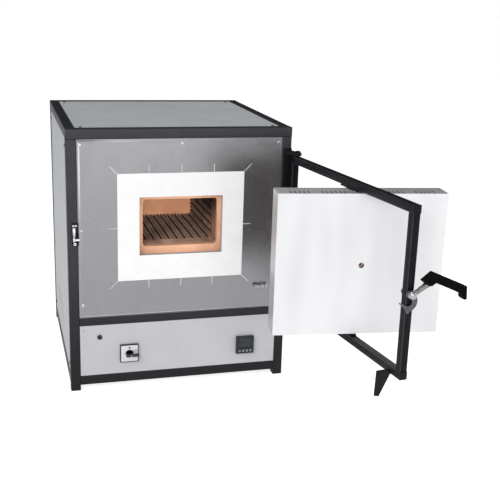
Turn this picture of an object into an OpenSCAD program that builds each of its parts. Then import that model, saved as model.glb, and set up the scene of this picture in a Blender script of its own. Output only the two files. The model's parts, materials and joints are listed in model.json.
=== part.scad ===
// Front-loading electric muffle furnace for firing small ceramics. Millimetres, +Z up.
// The origin is on the floor, midway between the four feet, and the user stands at -Y.
// Inside the modules Y is counted from the front plane of the tube frame, and placed()
// brings each piece to the origin. The door is drawn shut and then swung out by door_open.

/* [Cabinet] */
// outside width of the tube frame
body_w = 570; // [500:1:640]
// outside height, feet included
body_h = 680; // [600:1:760]
// outside depth of the tube frame
body_d = 580; // [500:1:660]
// side of the square frame tube
tube = 25; // [20:1:30]
// wall of every square tube
tube_wall = 1.5; // [1.2:0.1:2.5]
// height of the rail between control panel and front plate
mid_rail_h = 20; // [15:1:25]
// top of the control panel
panel_top = 177; // [160:1:200]
// thickness of the cover sheets
sheet = 1.5; // [1:0.1:2]

/* [Chamber] */
// clear width of the muffle
room_w = 192; // [160:1:220]
// clear height of the muffle
room_h = 121; // [100:1:150]
// height of the muffle floor
room_z = 377.5; // [360:0.5:400]
// back wall of the muffle, from the front plane
room_back = 352; // [300:1:400]
// wall of the muffle
muffle_wall = 24; // [18:1:30]
// spacing of the heater grooves
groove_pitch = 21; // [18:0.5:26]
// width of one heater groove
groove_w = 16; // [12:0.5:18]
// radius of one heater coil
coil_r = 7.2; // [4:0.1:7.5]

/* [Front] */
// width of the white fibre board round the mouth
board_w = 324; // [280:1:360]
// height of the board
board_h = 277; // [240:1:320]
// height of the middle of the board
board_z = 430.5; // [400:0.5:460]
// width of the hole in the board
mouth_w = 213; // [190:1:230]
// height of the hole in the board
mouth_h = 150; // [130:1:170]
// length of one expansion slit
slit_len = 21; // [15:1:30]
// width of one expansion slit
slit_w = 2.6; // [1.5:0.1:4]

/* [Door] */
// how far the door stands open
door_open = 97.3; // [0:0.1:120]
// side of the square door tube
door_tube = 18; // [15:1:25]
// length of the door frame, hinge side to latch side
door_l = 573.5; // [540:0.5:600]
// underside of the door frame
door_lo = 231.5; // [220:0.5:245]
// top of the door frame
door_hi = 610; // [590:0.5:630]
// drum ratio that turns the panel as the door swings
turn_ratio = 1.0769; // [1:0.0001:1.1]
// width of the door panel
leaf_w = 389.5; // [360:0.5:410]
// height of the door panel
leaf_h = 331; // [300:1:345]
// thickness of the door panel
leaf_t = 65.5; // [50:0.5:80]

/* [Hidden] */
$fn = 48;
gap = 0.3;
rail_lo = 15;
front_z0 = 201.5;
front_z1 = body_h - tube;
half = body_w / 2;
inner = half - tube;
mouth_z = 433;
room_top = room_z + room_h;
muf_w = room_w + 2 * muffle_wall;
muf_lo = room_z - muffle_wall;
muf_hi = room_top + muffle_wall;
muf_front = 14.3;
mouth_t = 16;
groove_y = 78;
groove_d = 15.5;
coil_in = 7.7;
lead_r = 3;
probe_x = 40;
probe_z = 470;
probe_r = 4;
slack = 0.4;
muf_y = muf_front + mouth_t;
ins_x = 240;
tray_z = 204;
ins_lo = tray_z + sheet + 0.2;
ins_hi = 634;
ins_back = 500;
foot_hole_r = 3.4;
switch_x = -134.5;
ctrl_z = 95.6;
ctrl_x = 176.4;
reset_x = -210;
reset_z = 144;
// hinge axis and the door's own axes: u runs from the hinge tube's middle to the latch
// side, v runs outwards, both measured with the door shut
axis_x = 290.5;
axis_y = -36;
carrier_x = 263.5;
tab_t = 8;
tab_r = 9.5;
tab_z = [door_lo - 11, door_hi + 3];
pin_u = 17;
pin_r = 4;
run = 0.05;
u0 = -door_tube / 2;
u1 = door_l - door_tube / 2;
pivot_u = 319.5;
pivot_r = 4;
leaf_off = 12;
leaf_lo = 256;
leaf_hi = leaf_lo + leaf_h;
leaf_back = -1;
leaf_x = axis_x + pin_u - pivot_u + leaf_off;
pivot_x = axis_x + pin_u - pivot_u;
peep_z = 421;
peep_a = 3;
peep_r = 6.5;
peep_bore = 3;
latch_v = -1;
latch_z = 423.5;
stem_tilt = 59;
stem_r = 4.6;
catch_x = -266;
bolt_y = -21.4;
bolt_z = 411.4;
drum_z = 597.5;
hinge_drum_r = 5.6;
pivot_drum_r = 5.2;
skin_t = 1.2;
pad_proud = 3;
slot_w = 4;
slot_pitch = 10.2;
// cooling slots of the door panel, left to right from its middle
slot_places = [for (s = [-1, 1], g = [[41, 6], [123, 5]], i = [0 : g[1] - 1])
               s * (g[0] + i * slot_pitch)];
wire_r = 0.6;
wire_off = 6.3;
floor_grooves = [for (i = [-4 : 4]) i * groove_pitch];
wall_grooves = [for (i = [-2 : 2]) room_z + room_h / 2 + i * groove_pitch];
plate_screws = [[-250.5, 642], [0, 643], [250.5, 642], [-250.5, 428], [250.5, 428],
                [-250.5, 233], [250.5, 233]];
panel_screws = [[-250, 48.5], [250, 48.5], [-250, 164], [250, 164]];
side_screws = [[45, 62], [535, 62], [45, 634], [535, 634]];
back_screws = [[-245, 62], [245, 62], [-245, 634], [245, 634]];
// [x, z, head radius]
catch_screws = [[catch_x - 4.6, 442.5, 2.9], [catch_x + 1.8, 442.5, 2.9],
                [catch_x - 1.4, 395.5, 4.2]];
top_screws = [[-245, 42], [245, 42], [-245, 538], [245, 538]];

black = [0.16, 0.16, 0.18];
grey = [0.72, 0.74, 0.76];
steel = [0.62, 0.62, 0.64];
white = [0.95, 0.95, 0.94];
clay = [0.85, 0.56, 0.38];

// ---------------------------------------------------------------- helpers
module box(lo, hi) {
    translate(lo) cube([hi[0] - lo[0], hi[1] - lo[1], hi[2] - lo[2]]);
}

// a cylinder lying along Y, from y0 to y1
module rod_y(x, z, r, y0, y1) {
    translate([x, y0, z]) rotate([-90, 0, 0]) cylinder(r = r, h = y1 - y0);
}

module rod_x(y, z, r, x0, x1) {
    translate([x0, y, z]) rotate([0, 90, 0]) cylinder(r = r, h = x1 - x0);
}

module rod_z(x, y, r, z0, z1) {
    translate([x, y, z0]) cylinder(r = r, h = z1 - z0);
}

// an open square tube along one axis, given by its outside box
module tube_bar(lo, hi, dir, w = tube_wall) {
    a = [for (i = [0 : 2]) i == dir ? lo[i] - 1 : lo[i] + w];
    b = [for (i = [0 : 2]) i == dir ? hi[i] + 1 : hi[i] - w];
    difference() {
        box(lo, hi);
        box(a, b);
    }
}

module placed() {
    translate([0, -body_d / 2, 0]) children();
}

// door coordinates: u along the shut door towards the latch, v outwards, z up
function door_x(u) = axis_x + pin_u - u;
function door_y(v) = axis_y - v;

module door_box(u, v, z) {
    box([door_x(u[1]), door_y(v[1]), z[0]], [door_x(u[0]), door_y(v[0]), z[1]]);
}

module swung() {
    translate([axis_x, axis_y, 0]) rotate([0, 0, door_open])
        translate([-axis_x, -axis_y, 0]) children();
}

module turned() {
    swung() translate([pivot_x, axis_y, 0]) rotate([0, 0, -door_open * turn_ratio])
        translate([-pivot_x, -axis_y, 0]) children();
}

// a flat piece standing in the v-z plane between two stations along u
module door_profile(pts, ua, ub) {
    translate([door_x(ub), 0, 0]) rotate([90, 0, 90]) linear_extrude(height = ub - ua)
        polygon([for (p = pts) [door_y(p[0]), p[1]]]);
}

module screw(r = 3.2, head = 2, shank = 1.9, len = 7) {
    rotate([90, 0, 0]) cylinder(r1 = r, r2 = r * 0.75, h = head);
    rotate([-90, 0, 0]) cylinder(r = shank, h = len);
}

// ---------------------------------------------------------------- tube frame
module post(x, y) {
    tube_bar([x, y, 3], [x + tube, y + tube, front_z1], 2);
}

module corner_posts() {
    color(black) placed() for (x = [-half, inner], y = [0, body_d - tube]) post(x, y);
}

module front_rails() {
    color(black) placed() {
        tube_bar([-half, 0, front_z1], [half, tube, body_h], 0);
        tube_bar([-inner, 0, panel_top], [inner, tube, panel_top + mid_rail_h], 0);
        tube_bar([-inner, 0, rail_lo], [inner, tube, rail_lo + tube], 0);
    }
}

module rear_rails() {
    color(black) placed() {
        tube_bar([-half, body_d - tube, front_z1], [half, body_d, body_h], 0);
        tube_bar([-inner, body_d - tube, rail_lo], [inner, body_d, rail_lo + tube], 0);
    }
}

module side_rails() {
    color(black) placed() for (x = [-half, inner]) {
        tube_bar([x, tube, front_z1], [x + tube, body_d - tube, body_h], 1);
        tube_bar([x, tube, rail_lo], [x + tube, body_d - tube, rail_lo + tube], 1);
    }
}

module foot_caps() {
    color(black) placed() for (x = [-half, inner], y = [0, body_d - tube]) difference() {
        union() {
            box([x, y, 0], [x + tube, y + tube, 3]);
            box([x + 1.7, y + 1.7, 3], [x + tube - 1.7, y + tube - 1.7, 14]);
        }
        rod_z(x + tube / 2, y + tube / 2, foot_hole_r, -1, 15);
    }
}

// flush plugs in the open ends of the two top rails
module rail_plugs() {
    w = tube_wall + 0.2;
    color(black) placed() for (x = [-half, half - 12], y = [0, body_d - tube])
        box([x, y + w, front_z1 + w], [x + 12, y + tube - w, body_h - w]);
}

// ---------------------------------------------------------------- covers
module vent_rows(rows, cols, w, h, px, pz) {
    for (i = [0 : cols - 1], j = [0 : rows - 1])
        translate([i * px, 0, j * pz]) cube([w, 20, h]);
}

module side_cover(x) {
    difference() {
        box([x, tube + 0.5, rail_lo + tube + 0.5],
            [x + sheet, body_d - tube - 0.5, front_z1 - 0.5]);
        translate([x - 5, 228, 60]) rotate([0, 0, 90]) mirror([0, 1, 0])
            vent_rows(9, 3, 52, 4, 62, 12);
        for (s = side_screws) rod_x(s[0], s[1], 2.2, x - 5, x + 5);
    }
}

module side_covers() {
    color(grey) placed() for (x = [-half + sheet, half - 2 * sheet]) side_cover(x);
}

module top_cover() {
    color(grey) placed() difference() {
        box([-inner + 0.5, tube + 0.5, body_h - 2 * sheet],
            [inner - 0.5, body_d - tube - 0.5, body_h - sheet]);
        for (s = top_screws) rod_z(s[0], s[1], 2.2, body_h - 10, body_h);
    }
}

module rear_cover() {
    y = body_d - 2 * sheet;
    color(grey) placed() difference() {
        box([-inner + 0.5, y, rail_lo + tube + 0.5],
            [inner - 0.5, y + sheet, front_z1 - 0.5]);
        translate([-190, y - 5, 560]) vent_rows(4, 5, 60, 5, 80, 14);
        translate([-190, y - 5, 120]) vent_rows(3, 3, 60, 5, 80, 14);
        rod_y(190, 100, 8.2, y - 5, y + 5);
        for (s = back_screws) rod_y(s[0], s[1], 2.2, y - 5, y + 5);
    }
}

module base_sheet() {
    z = rail_lo + tube;
    color(steel) placed() difference() {
        union() {
            box([-inner - 12, tube + 0.5, z], [inner + 12, body_d - tube - 0.5, z + sheet]);
            box([-inner + 0.5, 6, z], [inner - 0.5, body_d - 6, z + sheet]);
        }
        translate([-150, 150, z - 5]) for (i = [0 : 5], j = [0 : 7])
            translate([i * 56, j * 34, 0]) cube([36, 5, 20]);
    }
}

module tray() {
    color(steel) placed() difference() {
        box([-inner + 0.5, 26, tray_z], [inner - 0.5, body_d - tube - 1, tray_z + sheet]);
        for (x = [-60, -20, 20, 60]) rod_z(x, 520, 5, tray_z - 5, tray_z + 5);
    }
}

module cover_screws() {
    color(black) placed() {
        for (s = top_screws) translate([s[0], s[1], body_h - sheet])
            rotate([-90, 0, 0]) screw(r = 4, head = 1.5, shank = 1.85, len = 6);
        for (s = side_screws) {
            translate([-half + sheet, s[0], s[1]]) rotate([0, 0, -90])
                screw(r = 4, head = 1.5, shank = 1.85, len = 6);
            translate([half - sheet, s[0], s[1]]) rotate([0, 0, 90])
                screw(r = 4, head = 1.5, shank = 1.85, len = 6);
        }
        for (s = back_screws) translate([s[0], body_d - sheet, s[1]])
            rotate([0, 0, 180]) screw(r = 4, head = 1.5, shank = 1.85, len = 6);
    }
}

// ---------------------------------------------------------------- front
module slits() {
    bx = board_w / 2;
    bz = board_h / 2;
    for (x = [-83, 0, 83], s = [-1, 1])
        translate([x - slit_w / 2, -5, s > 0 ? bz - 2 : -bz - slit_len])
            cube([slit_w, 20, slit_len + 2]);
    for (s = [-1, 1]) {
        translate([s > 0 ? bx - 2 : -bx - slit_len, -5, -slit_w / 2])
            cube([slit_len + 2, 20, slit_w]);
        for (t = [-1, 1]) translate([s * (bx - 1), 0, t * (bz - 1)])
            rotate([0, t * s * -45 + (s < 0 ? 180 : 0), 0])
                translate([0, -5, -slit_w / 2]) cube([28, 20, slit_w]);
    }
}

module front_plate() {
    color(steel) placed() difference() {
        box([-inner + 0.4, 1, front_z0], [inner - 0.4, 2.2, front_z1 - 0.4]);
        translate([0, 0, board_z]) {
            cube([board_w + 2 * gap, 20, board_h + 2 * gap], center = true);
            slits();
        }
        for (s = plate_screws) rod_y(s[0], s[1], 2.2, -5, 5);
    }
}

module front_board() {
    color(white) placed() difference() {
        box([-board_w / 2, 0, board_z - board_h / 2],
            [board_w / 2, 14, board_z + board_h / 2]);
        box([-mouth_w / 2, -1, mouth_z - mouth_h / 2],
            [mouth_w / 2, 15, mouth_z + mouth_h / 2]);
    }
}

module front_blanket() {
    color(white) placed() difference() {
        box([-ins_x, 2.5, ins_lo], [ins_x, 14, ins_hi]);
        translate([0, 0, board_z])
            cube([board_w + 2 * gap, 60, board_h + 2 * gap], center = true);
    }
}

// welded lugs that the sheet-metal screws go into
module screw_lugs() {
    color(black) placed() {
        for (s = top_screws) difference() {
            box([s[0] < 0 ? -inner : 237, s[1] < 100 ? tube : 530, body_h - 6],
                [s[0] < 0 ? -237 : inner, s[1] < 100 ? 50 : body_d - tube,
                 body_h - 2 * sheet]);
            rod_z(s[0], s[1], 1.95, body_h - 10, body_h);
        }
        for (x = [-1, 1], s = side_screws) difference() {
            box([x < 0 ? -half + 2 * sheet : half - 6, s[0] < 100 ? tube : 527,
                 s[1] < 100 ? rail_lo + tube + 2 : 626],
                [x < 0 ? -half + 6 : half - 2 * sheet, s[0] < 100 ? 53 : body_d - tube,
                 s[1] < 100 ? 70 : front_z1]);
            rod_x(s[0], s[1], 1.95, x * half - 10, x * half + 10);
        }
        for (s = back_screws) difference() {
            box([s[0] < 0 ? -inner : 237, body_d - 6, s[1] < 100 ? rail_lo + tube + 2 : 626],
                [s[0] < 0 ? -237 : inner, body_d - 2 * sheet, s[1] < 100 ? 70 : front_z1]);
            rod_y(s[0], s[1], 1.95, body_d - 10, body_d);
        }
        for (s = plate_screws) difference() {
            if (s[0] == 0) box([-9, 2.4, ins_hi + 1], [9, 5.4, front_z1]);
            else box([s[0] < 0 ? -inner : 242, 2.4, s[1] - 8],
                     [s[0] < 0 ? -242 : inner, 5.4, s[1] + 8]);
            rod_y(s[0], s[1], 1.95, -5, 9);
        }
        for (s = panel_screws) difference() {
            box([s[0] < 0 ? -inner : 242, 2.5, s[1] - 6], [s[0] < 0 ? -242 : inner, 5.5,
                 s[1] + 8]);
            rod_y(s[0], s[1], 1.95, -5, 9);
        }
    }
}

module plate_screws() {
    color(steel) placed() {
        for (s = concat(plate_screws, panel_screws)) translate([s[0], 1, s[1]])
            screw(len = 5);
    }
}

module control_panel() {
    color(grey) placed() difference() {
        box([-inner + 0.4, 1, rail_lo + tube + 0.4], [inner - 0.4, 2.5, panel_top - 0.4]);
        rod_y(switch_x, ctrl_z, 9, -5, 9);
        box([ctrl_x - 22.5, -5, ctrl_z - 22.5], [ctrl_x + 22.5, 9, ctrl_z + 22.5]);
        rod_y(reset_x, reset_z, 5.2, -5, 9);
        for (s = panel_screws) rod_y(s[0], s[1], 2.2, -5, 9);
    }
}

// ---------------------------------------------------------------- hot parts
module muffle_mouth() {
    color(clay) placed() difference() {
        box([-muf_w / 2, muf_front, muf_lo], [muf_w / 2, muf_y, muf_hi]);
        translate([0, 0, room_z + room_h / 2]) rotate([90, 0, 0])
            translate([0, 0, -100]) linear_extrude(height = 120) {
                square([room_w - 18, room_h], center = true);
                square([room_w, room_h - 18], center = true);
                for (s = [-1, 1], t = [-1, 1])
                    translate([s * (room_w / 2 - 9), t * (room_h / 2 - 9)]) circle(r = 9);
            }
    }
}

module muffle_floor() {
    color(clay) placed() difference() {
        box([-muf_w / 2, muf_y, muf_lo], [muf_w / 2, room_back, room_z]);
        for (x = floor_grooves)
            box([x - groove_w / 2, groove_y, room_z - groove_d],
                [x + groove_w / 2, room_back + 1, room_z + 1]);
    }
}

module muffle_sides() {
    color(clay) placed() for (s = [-1, 1]) difference() {
        box([s < 0 ? -muf_w / 2 : room_w / 2, muf_y, room_z],
            [s < 0 ? -room_w / 2 : muf_w / 2, room_back, room_top]);
        for (z = wall_grooves)
            box([s < 0 ? -room_w / 2 - groove_d : room_w / 2 - 1, groove_y, z - groove_w / 2],
                [s < 0 ? -room_w / 2 + 1 : room_w / 2 + groove_d, room_back + 1,
                 z + groove_w / 2]);
    }
}

module muffle_roof() {
    color(clay) placed() box([-muf_w / 2, muf_y, room_top], [muf_w / 2, room_back, muf_hi]);
}

// the four coil tails, as [x, z]
lead_spots = [for (s = [-1, 1]) each [[s * floor_grooves[8], room_z - coil_in],
                                      [s * (room_w / 2 + coil_in), wall_grooves[4]]]];

module back_holes() {
    rod_y(probe_x, probe_z, probe_r + slack, room_back - 9, ins_back + 9);
    for (p = lead_spots) rod_y(p[0], p[1], lead_r + slack, room_back - 9, ins_back + 9);
}

module muffle_back() {
    color(clay) placed() difference() {
        box([-muf_w / 2, room_back, muf_lo], [muf_w / 2, room_back + 25, muf_hi]);
        back_holes();
    }
}

module heater_coils() {
    color([0.42, 0.3, 0.24]) placed() {
        for (x = floor_grooves)
            rod_y(x, room_z - coil_in, coil_r, groove_y + 2, room_back - 1);
        for (s = [-1, 1], z = wall_grooves)
            rod_y(s * (room_w / 2 + coil_in), z, coil_r, groove_y + 2, room_back - 1);
    }
}

module heater_leads() {
    color([0.7, 0.66, 0.6]) placed()
        for (p = lead_spots) rod_y(p[0], p[1], lead_r, room_back + 0.5, ins_back + 15);
}

// five blocks round the muffle, with a hair's gap between them
module insulation() {
    hx = muf_w / 2;
    yb = room_back + 25;
    color(white) placed() {
        box([-ins_x, 14.3, ins_lo], [ins_x, ins_back, muf_lo - gap]);
        box([-ins_x, 14.3, muf_hi + gap], [ins_x, ins_back, ins_hi]);
        for (s = [-1, 1]) box([s < 0 ? -ins_x : hx + gap, 14.3, muf_lo],
                              [s < 0 ? -hx - gap : ins_x, ins_back, muf_hi]);
        difference() {
            box([-hx, yb + gap, muf_lo], [hx, ins_back, muf_hi]);
            back_holes();
        }
    }
}

module thermocouple() {
    color([0.86, 0.84, 0.8]) placed() {
        rod_y(probe_x, probe_z, probe_r, room_back - 26, ins_back + 12);
        rod_y(probe_x, probe_z, 16, ins_back + 12, ins_back + 36);
    }
}

// ---------------------------------------------------------------- electrics
module relay() {
    color([0.25, 0.26, 0.28]) placed() {
        box([40, 300, 41.5], [85, 360, 72]);
        difference() {
            box([40, 380, 41.5], [140, 460, 92]);
            for (i = [0 : 8]) box([46 + i * 10, 370, 50], [52 + i * 10, 470, 100]);
        }
    }
}

module terminal_block() {
    color([0.85, 0.85, 0.8]) placed() difference() {
        box([130, 500, 41.5], [230, 530, 70]);
        for (i = [0 : 5]) rod_z(142 + i * 15, 515, 3, 58, 80);
    }
}

module cable_gland() {
    y = body_d - sheet;
    color(black) placed() difference() {
        union() {
            rod_y(190, 100, 8, y - 14, y + 9);
            rod_y(190, 100, 12, y, y + 5);
            rod_y(190, 100, 12, y - 9, y - sheet - 0.3);
        }
        rod_y(190, 100, 4, y - 40, y + 40);
    }
}

module switch_plate() {
    color(steel) placed() difference() {
        box([switch_x - 24, -1, ctrl_z - 24.5], [switch_x + 24, 1, ctrl_z + 24.5]);
        rod_y(switch_x, ctrl_z, 4.3, -5, 9);
    }
}

module switch_body() {
    color(black) placed() difference() {
        box([switch_x - 24, 2.8, ctrl_z - 24], [switch_x + 24, 62, ctrl_z + 24]);
        rod_y(switch_x, ctrl_z, 4.3, 0, 34);
    }
}

module switch_knob() {
    color(black) placed() {
        rod_y(switch_x, ctrl_z, 4, -6, 30);
        rod_y(switch_x, ctrl_z, 10, -9, -2);
        rod_y(switch_x, ctrl_z, 6, -15, -9);
        box([switch_x - 11, -24, ctrl_z - 4], [switch_x + 24, -14, ctrl_z + 3]);
    }
}

module controller() {
    color(black) placed() difference() {
        union() {
            box([ctrl_x - 24, -8, ctrl_z - 24], [ctrl_x + 24, 1, ctrl_z + 24]);
            box([ctrl_x - 22.2, 1, ctrl_z - 22.2], [ctrl_x + 22.2, 92, ctrl_z + 22.2]);
        }
        box([ctrl_x - 19, -9, ctrl_z - 8], [ctrl_x + 19, -5, ctrl_z + 20]);
        for (i = [0 : 3]) rod_y(ctrl_x - 15 + i * 10, ctrl_z - 16, 3.05, -9, -2.5);
    }
}

module controller_window() {
    color([0.35, 0.4, 0.42]) placed()
        box([ctrl_x - 18.7, -7.4, ctrl_z - 7.7], [ctrl_x + 18.7, -5, ctrl_z + 19.7]);
}

module key(i) {
    color([0.7, 0.7, 0.72]) placed() rod_y(ctrl_x - 15 + i * 10, ctrl_z - 16, 3, -9.4, -3.8);
}

module key_set() { key(0); }
module key_down() { key(1); }
module key_up() { key(2); }
module key_run() { key(3); }

module reset_bush() {
    color(black) placed() difference() {
        union() {
            rod_y(reset_x, reset_z, 6.4, -1, 1);
            rod_y(reset_x, reset_z, 5, 1, 16);
            rod_y(reset_x, reset_z, 9, 2.8, 6);
        }
        rod_y(reset_x, reset_z, 3.55, -5, 13);
    }
}

module reset_pin() {
    color(black) placed() rod_y(reset_x, reset_z, 3.5, -0.6, 10);
}

// ---------------------------------------------------------------- latch post side
module catch_plate() {
    color(steel) placed() {
        difference() {
            box([catch_x - 8, -3, 390.5], [catch_x + 8, 0, 448.5]);
            for (s = catch_screws) rod_y(s[0], s[1], 1.9, -9, 9);
        }
        intersection() {
            translate([catch_x - 7, 0, 0]) rotate([90, 0, 90]) linear_extrude(height = 9.4)
                polygon([[-3, 437], [-3, 403], [-25, 407], [-25, 416]]);
            translate([catch_x, 0, 0]) rotate([90, 0, 0]) linear_extrude(height = 30)
                polygon([[-7, 440], [-7, 400], [-3, 400], [-3, 414], [2.4, 438], [2.4, 440]]);
        }
        rod_x(bolt_y, bolt_z, 3, catch_x - 3, catch_x + 9.3);
    }
}

module catch_bolts() {
    color(steel) placed() for (s = catch_screws) {
        rod_y(s[0], s[1], s[2], -5.4, -3);
        rod_y(s[0], s[1], 1.9, -3, 0);
    }
}

module panel_stop() {
    z = 261.5;
    y = -8;
    color(steel) placed() {
        rod_x(y, z, 5.4, 196.6, 201);
        rod_x(y, z, 3, 201, 230);
        difference() {
            rod_x(y, z, 5.4, 203.5, 207.5);
            rod_x(y, z, 2.9, 200, 210);
        }
        for (x = [217, 226]) box([x, -14, z - 5.5], [x + 2.5, 1, z + 5.5]);
        box([214, -1, z - 5.5], [234, 1, z + 5.5]);
    }
}

// ---------------------------------------------------------------- hinge
module hinge_tab() {
    difference() {
        union() {
            linear_extrude(height = tab_t)
                polygon([[carrier_x, 0], [half, 0], [axis_x + tab_r, axis_y],
                         [axis_x - 6, axis_y - 7], [carrier_x, -10]]);
            rod_z(axis_x, axis_y, tab_r, 0, tab_t);
        }
        rod_z(axis_x, axis_y, pin_r + run, -1, tab_t + 1);
    }
}

module hinge_carrier() {
    color(black) placed() {
        box([carrier_x, -4, 212], [half, 0, 627]);
        for (z = tab_z) translate([0, 0, z]) hinge_tab();
    }
}

module hinge_pins() {
    color(steel) placed() {
        rod_z(axis_x, axis_y, pin_r, door_hi - door_tube - 2, tab_z[1] + tab_t);
        rod_z(axis_x, axis_y, 6.5, tab_z[1] + tab_t, tab_z[1] + tab_t + 4);
        rod_z(axis_x, axis_y, pin_r, tab_z[0], door_lo + door_tube + 2);
        rod_z(axis_x, axis_y, 6.5, tab_z[0] - 4, tab_z[0]);
        rod_z(axis_x, axis_y, 7, tab_z[0] + tab_t, door_lo - 0.1);
    }
}

module hinge_drum() {
    color(steel) placed() difference() {
        rod_z(axis_x, axis_y, hinge_drum_r, drum_z - 3, drum_z + 3);
        rod_z(axis_x, axis_y, pin_r + run, drum_z - 9, drum_z + 9);
    }
}

// ---------------------------------------------------------------- door frame
module door_bars() {
    t = door_tube;
    color(black) placed() swung() {
        difference() {
            tube_bar([door_x(u1), door_y(t / 2), door_hi - t],
                     [door_x(u0), door_y(-t / 2), door_hi], 0);
            rod_z(axis_x, axis_y, pin_r + run, door_hi - 30, door_hi + 9);
            rod_z(pivot_x, axis_y, pivot_r + run, door_hi - 30, door_hi - 10);
        }
        difference() {
            tube_bar([door_x(u1), door_y(t / 2), door_lo],
                     [door_x(u0), door_y(-t / 2), door_lo + t], 0);
            rod_z(axis_x, axis_y, pin_r + run, door_lo - 9, door_lo + 30);
            rod_z(pivot_x, axis_y, pivot_r + run, door_lo + 10, door_lo + 30);
        }
    }
}

module door_uprights() {
    t = door_tube;
    color(black) placed() swung() {
        tube_bar([door_x(u0 + t), door_y(t / 2), door_lo + t],
                 [door_x(u0), door_y(-t / 2), door_hi - t], 2);
        difference() {
            tube_bar([door_x(u1), door_y(t / 2), door_lo + t],
                     [door_x(u1 - t), door_y(-t / 2), door_hi - t], 2);
            rod_x(door_y(latch_v), latch_z, 5.05, door_x(u1) - 9, door_x(u1 - t) + 9);
        }
    }
}

module bar_cap(u, z) {
    s = u > 100 ? 1 : -1;
    door_box([min(u, u + s * 1.2), max(u, u + s * 1.2)], [-9, 9], [z - 9, z + 9]);
    door_box([min(u, u - s * 9), max(u, u - s * 9)], [-7.2, 7.2], [z - 7.2, z + 7.2]);
}

module door_fittings() {
    color(black) placed() swung() {
        difference() {
            door_box([262, 337], [-9, 9], [door_hi - door_tube - 3.5, door_hi - door_tube]);
            rod_z(pivot_x, axis_y, pivot_r + run, 560, 640);
        }
        difference() {
            door_box([290, 349], [-9, 9], [door_lo + door_tube, door_lo + door_tube + 3]);
            rod_z(pivot_x, axis_y, pivot_r + run, 200, 300);
        }
        for (z = [door_lo + 9, door_hi - 9]) bar_cap(u1, z);
        for (z = [door_lo + 9, door_hi - 9]) bar_cap(u0, z);
    }
}

module drive_cable() {
    color(steel) placed() swung() {
        for (s = [-1, 1])
            rod_x(axis_y + s * wire_off, drum_z, wire_r, pivot_x, axis_x);
        for (x = [pivot_x, axis_x]) translate([x, axis_y, drum_z])
            rotate([0, 0, x == pivot_x ? 90 : -90]) rotate_extrude(angle = 180)
                translate([wire_off, 0]) circle(r = wire_r);
    }
}

module interlock_fin() {
    color(black) placed() swung() {
        door_profile([[-28.5, door_lo], [9, door_lo], [9, 226], [-19, 170], [-30.5, 173]],
                     503.5, 506.5);
        rod_x(door_y(-21), 222, 3, door_x(507.6), door_x(506.5));
    }
}

// ---------------------------------------------------------------- latch
module latch_claw() {
    color(steel) placed() swung() difference() {
        union() {
            door_profile([for (p = [[7, 6], [9.5, 0], [15, -8], [16.4, -14], [16.2, -20],
                                    [14, -26.5], [10.5, -31], [5.5, -34.5], [0.5, -36],
                                    [-3.5, -41], [-6.4, -40.4], [-9, -34.5], [-14, -28],
                                    [-25.4, -18.6], [-24.2, -16], [-15, -21.5], [-9, -24.4],
                                    [-3, -25], [1.6, -23.6], [4.4, -20], [4.2, -16],
                                    [1.5, -11.5], [-2, -8], [-4, 4]])
                          [latch_v + p[0], latch_z + p[1]]], 565.3, 570.3);
            rod_x(door_y(latch_v), latch_z, 9, door_x(570.3), door_x(565.3));
        }
        rod_x(door_y(latch_v), latch_z, 5.05, door_x(600), door_x(560));
    }
}

module latch_shaft() {
    color([0.8, 0.8, 0.82]) placed() swung() {
        rod_x(door_y(latch_v), latch_z, 5, door_x(571), door_x(545));
        rod_x(door_y(latch_v), latch_z, 8, door_x(545), door_x(542.5));
        rod_x(door_y(latch_v), latch_z, 9, door_x(579), door_x(571));
        translate([door_x(579), door_y(latch_v), latch_z]) rotate([0, -90, 0])
            cylinder(r1 = 9, r2 = 5, h = 3.5);
        translate([door_x(575), door_y(latch_v + 6), latch_z + 4])
            rotate([stem_tilt, 0, 0]) cylinder(r1 = stem_r, r2 = stem_r + 1.4, h = 35);
    }
}

module latch_grip() {
    color(black) placed() swung() difference() {
        door_profile([[17.8, 453.6], [42, 470.6], [127.4, 432.6], [129.6, 403.2],
                      [124, 402.8], [119.5, 405], [116.5, 409.5], [116, 416.5], [49, 447.2],
                      [40, 441.5], [32, 441.8]], 568.5, 582.5);
        translate([door_x(575), door_y(latch_v + 6), latch_z + 4])
            rotate([stem_tilt, 0, 0])
                cylinder(r1 = stem_r + 0.1, r2 = stem_r + 1.5, h = 35.5);
    }
}

// ---------------------------------------------------------------- door panel
module leaf_box(a, b, z) {
    box([leaf_x + a[0], leaf_back - leaf_t + b[0], z[0]],
        [leaf_x + a[1], leaf_back - leaf_t + b[1], z[1]]);
}

module leaf_skin() {
    h = leaf_w / 2;
    color(white) placed() turned() difference() {
        leaf_box([-h, h], [0, skin_t], [leaf_lo, leaf_hi]);
        rod_y(leaf_x + peep_a, peep_z, peep_r, -90, 0);
    }
}

module leaf_case() {
    h = leaf_w / 2;
    color(steel) placed() turned() difference() {
        leaf_box([-h, h], [skin_t, leaf_t - pad_proud], [leaf_lo, leaf_hi]);
        leaf_box([-h + 1, h - 1], [0, leaf_t], [leaf_lo + 1, leaf_hi - 1]);
        for (a = slot_places)
            leaf_box([a - slot_w / 2, a + slot_w / 2], [4.6, 32], [leaf_lo - 5, leaf_hi + 5]);
    }
}

module leaf_pivots() {
    color(steel) placed() turned() {
        rod_z(pivot_x, axis_y, pivot_r, leaf_hi, drum_z + 4);
        rod_z(pivot_x, axis_y, 9, leaf_hi, leaf_hi + 1.2);
        rod_z(pivot_x, axis_y, pivot_drum_r, drum_z - 3, drum_z + 3);
        rod_z(pivot_x, axis_y, pivot_r, door_lo + 6, leaf_lo);
        rod_z(pivot_x, axis_y, 9, door_lo + door_tube + 3.1, leaf_lo);
    }
}

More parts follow.
